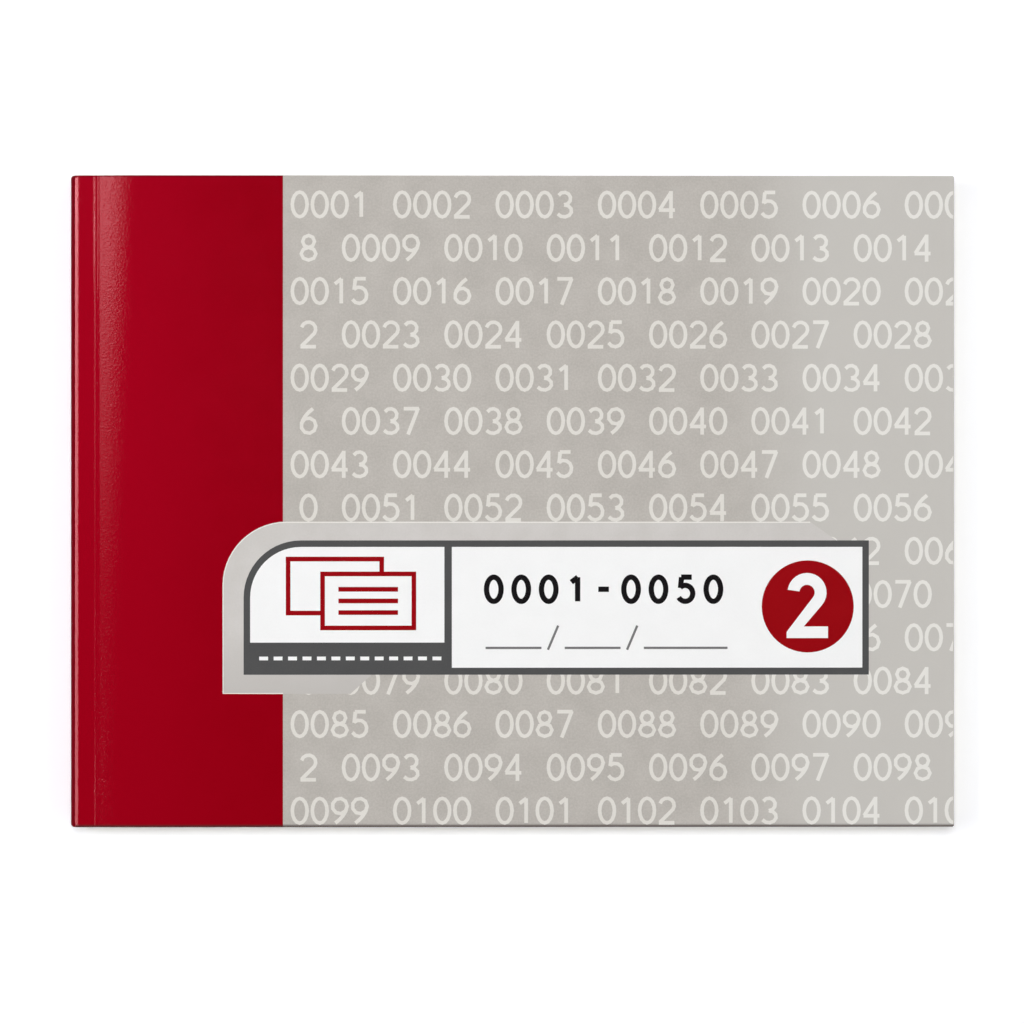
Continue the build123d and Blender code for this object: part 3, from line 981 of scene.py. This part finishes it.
white_print = laminate("white_print", tint(250, 250, 250), tint(245, 245, 245))
cell_left = FRAME_LEFT + FRAME_LINE
cell_right = FRAME_RIGHT - FRAME_LINE
cell_top = FRAME_TOP - FRAME_LINE
cell_foot = FRAME_FOOT + FOOT_LINE
left_cell = round_corner(cell_left, cell_top, FRAME_CORNER - FRAME_LINE)
left_cell += [(cell_left, LEFT_CELL_FOOT), (LEFT_CELL_RIGHT, LEFT_CELL_FOOT), (LEFT_CELL_RIGHT, cell_top)]
right_cell = [(RIGHT_CELL_LEFT, cell_top), (RIGHT_CELL_LEFT, cell_foot),
              (cell_right, cell_foot), (cell_right, cell_top)]
film_piece("label_cells", [left_cell, right_cell], CELL_LAYER, white_print)

disc_print = laminate("disc_print", tint(155, 15, 22), tint(146, 10, 18))
film_piece("label_disc", [bow(**DISC, first=0, last=354, steps=59)], MARK_LAYER, disc_print)
bold_two = bow(TWO_X, TWO_Y, TWO_INNER, TWO_INNER, 172, -38, 14)
bold_two += [(TWO_LEFT, TWO_NECK_Y), (TWO_LEFT, TWO_FOOT), (TWO_RIGHT, TWO_FOOT),
             (TWO_RIGHT, TWO_FOOT_TOP), (TWO_NECK_X, TWO_FOOT_TOP)]
bold_two += bow(TWO_X, TWO_Y, TWO_OUTER, TWO_OUTER, -38, 172, 18)
film_piece("label_disc_figure", [bold_two], TOP_LAYER, white_print)


def level_stroke(left, right, y):
    """A level stroke that runs past the corners by half a line."""
    return [(left - MARK_LINE / 2, y), (right + MARK_LINE / 2, y)]


sheet_marks = [level_stroke(FRONT_SHEET["left"], FRONT_SHEET["right"], FRONT_SHEET[y])
               for y in ("foot", "top")]
sheet_marks += [[(FRONT_SHEET[x], FRONT_SHEET["foot"]), (FRONT_SHEET[x], FRONT_SHEET["top"])]
                for x in ("left", "right")]
sheet_marks += [level_stroke(BACK_SHEET["left"], BACK_SHEET["right"], BACK_SHEET["top"]),
                [(BACK_SHEET["left"], BACK_SHEET["foot"]), (BACK_SHEET["left"], BACK_SHEET["top"])],
                [(BACK_SHEET["right"], FRONT_SHEET["top"]), (BACK_SHEET["right"], BACK_SHEET["top"])],
                [(BACK_SHEET["left"] - MARK_LINE / 2, BACK_SHEET["foot"]),
                 (FRONT_SHEET["left"], BACK_SHEET["foot"])]]
sheet_marks += [[(FRONT_SHEET["left"] + LINE_INSET, y), (FRONT_SHEET["right"] - LINE_INSET, y)]
                for y in SHEET_LINES]
line_piece("label_sheets_mark", sheet_marks, MARK_LINE, MARK_LAYER, disc_print)

dashes = [[(x, DASH_LEVEL), (x + DASH, DASH_LEVEL)] for x in np.arange(DASH_LEFT, DASH_RIGHT, DASH_PITCH)]
line_piece("label_tear_mark", dashes, DASH_LINE, CELL_LAYER, white_print)

black_print = laminate("black_print", tint(30, 28, 29), tint(20, 18, 20))
line_piece("label_numbers", figures("0001-0050", **RANGE_NUMBER, fine=3), RANGE_LINE, MARK_LAYER, black_print)

rule_print = laminate("rule_print", tint(122, 121, 121), tint(110, 109, 109))
rules = [[(left, BLANK_LEVEL), (right, BLANK_LEVEL)] for left, right in DATE_BLANKS]
rules += [[(right + STROKE_GAP, STROKE_FOOT), (right + STROKE_GAP + STROKE_LEAN, STROKE_TOP)]
          for left, right in DATE_BLANKS[:-1]]
line_piece("label_date_rules", rules, BLANK_LINE, MARK_LAYER, rule_print)

# Floor, light and camera
# A white sheet under the book, clear from below, soft boxes on four sides and one for the crease's gloss.
# Walls are pale and the ceiling is dark, so that flat film shows its own colour. The camera looks down.
FLOOR_HALF = 8.0
FLOOR_LEVEL = -0.05 * mm
FLOOR_GRAIN = 20 * mm
FLOOR_LIT = (0.85, 0.85, 0.85, 1)
FLOOR_SEEN = (1.12, 1.125, 1.17, 1)
FADE_START = 0.30
FADE_END = 0.55
CEILING_START = 0.62
CEILING_FULL = 0.85
WALL_LIGHT = 0.30
BLACK = (0, 0, 0, 1)
CENTRE = (0, 0, 0)
LENS = 100
SENSOR = 36
VIEW_WIDTH = 220.0 * mm
VIEW_X = -0.125 * mm
VIEW_Y = -2.30 * mm
VIEW_TILT = radians(0.4)

floor_mesh = bpy.data.meshes.new("floor")
corners = [(x * FLOOR_HALF, y * FLOOR_HALF, FLOOR_LEVEL) for x, y in ((-1, -1), (1, -1), (1, 1), (-1, 1))]
floor_mesh.from_pydata(corners, [], [(0, 1, 2, 3)])
floor = bpy.data.objects.new("floor", floor_mesh)
show(floor)


def ray(shade, kind):
    """1 for rays of that kind, otherwise 0."""
    return shade.node("ShaderNodeLightPath", output=f"Is {kind} Ray")


floor_sheet, shade = surface("floor_sheet")
floor_place = solid_place(shade)
grain = noise(shade, floor_place, FLOOR_GRAIN)
seen = shade.math("MINIMUM", ray(shade, "Camera") + ray(shade, "Glossy") + ray(shade, "Transmission"), 1.0)
sheet_colour = mix(shade, grain * 0.02, mix(shade, seen, FLOOR_LIT, FLOOR_SEEN), WHITE)
matte = shade.node("ShaderNodeBsdfDiffuse", {}, {"Color": sheet_colour})
below = shade.node("ShaderNodeNewGeometry", output="Backfacing")
away = shade.node("ShaderNodeVectorMath", {"operation": "LENGTH"}, {0: floor_place}, "Value")
hidden = shade.math("MAXIMUM", below, spread(shade, away, FADE_START, FADE_END))
clear = shade.node("ShaderNodeBsdfTransparent")
sheet = shade.node("ShaderNodeMixShader", {}, {0: hidden, 1: matte, 2: clear})
shade.node("ShaderNodeOutputMaterial", {}, {"Surface": sheet})
floor_mesh.materials.append(floor_sheet)

scene = bpy.context.scene
scene.view_settings.view_transform = "Standard"
scene.world = bpy.data.worlds.new("studio")
scene.world.use_nodes = True
scene.world.node_tree.nodes.clear()
shade = Wire(scene.world.node_tree)
up = coordinate(shade, shade.node("ShaderNodeTexCoord", output="Generated"), "Z")
ceiling = spread(shade, up, CEILING_START, CEILING_FULL)
straight = ray(shade, "Camera") + ray(shade, "Transmission")
white = shade.math("MINIMUM", straight + ray(shade, "Glossy") * (1 - ceiling), 1.0)
strength = white + (1 - white) * (1 - ceiling) * WALL_LIGHT
studio = shade.node("ShaderNodeBackground", {}, {"Color": WHITE, "Strength": strength})
shade.node("ShaderNodeOutputWorld", {}, {"Surface": studio})


def graded(lamp, grades):
    """Dims a lamp across its face. A grade is an axis, where on it the lamp is dim and full, and how dim."""
    lamp.use_nodes = True
    lamp.node_tree.nodes.clear()
    shade = Wire(lamp.node_tree)
    spot = shade.node("ShaderNodeNewGeometry", output="Parametric")
    level = 1.0
    for axis, dim_at, full_at, dim in grades:
        stretch = {"Value": coordinate(shade, spot, axis), "From Min": dim_at, "From Max": full_at}
        level = (shade.node("ShaderNodeMapRange", {}, stretch) * (1 - dim) + dim) * level
    glow = shade.node("ShaderNodeEmission", {}, {"Color": mix(shade, level, BLACK, WHITE)})
    shade.node("ShaderNodeOutputLight", {}, {"Surface": glow})


def soft_box(name, place, aim, wide, high, watts, spin=0.0, mirrored=True, grades=()):
    """A lamp that faces aim. One that isn't mirrored lights the book without a reflection in its film."""
    lamp = bpy.data.lights.new(name, "AREA")
    lamp.shape = "RECTANGLE"
    lamp.size = wide
    lamp.size_y = high
    lamp.energy = watts
    if grades:
        graded(lamp, grades)
    holder = bpy.data.objects.new(name, lamp)
    holder.location = place
    facing = (Vector(place) - Vector(aim)).to_track_quat("Z", "Y")
    holder.rotation_euler = (facing @ Quaternion((0, 0, 1), radians(spin))).to_euler()
    holder.visible_glossy = mirrored
    show(holder)


soft_box("head_box", place=(0.0, 0.34, 1.20), aim=CENTRE, wide=0.40, high=0.70, watts=13.3, mirrored=False,
         grades=[("Y", 0.0, 1.0, 0.1)])
soft_box("tail_box", place=(0.0, -0.52, 1.25), aim=CENTRE, wide=0.80, high=0.35, watts=1.1)
soft_box("fore_edge_box", place=(1.10, 0.0, 1.0), aim=CENTRE, wide=0.60, high=0.50, watts=3.4)
soft_box("spine_box", place=(-0.6075, 0.0, 0.80), aim=(-0.094, 0, 0), wide=0.42, high=0.14, watts=3.9,
         grades=[("X", 0.19, 0.10, 0.66), ("X", 0.85, 0.20, 0.66), ("Y", 0.95, 0.45, 0.6)])
soft_box("gloss_box", place=(-0.445, 0.0267, 1.0), aim=(-0.445, 0.0267, 0), wide=0.28, high=0.60, watts=4.07,
         spin=-15.2, grades=[("X", 0.0, 0.27, 0.05), ("Y", 0.60, 0.12, 0.03), ("Y", 0.34, 0.27, 0.68)])

camera = bpy.data.cameras.new("camera")
camera.lens = LENS
camera.sensor_width = SENSOR
camera.shift_x = -tan(VIEW_TILT) * LENS / SENSOR
viewer = bpy.data.objects.new("camera", camera)
viewer.location = (VIEW_X, VIEW_Y, COVER_TOP + VIEW_WIDTH * LENS / SENSOR)
viewer.rotation_euler = (0, -VIEW_TILT, 0)
show(viewer)
scene.camera = viewer
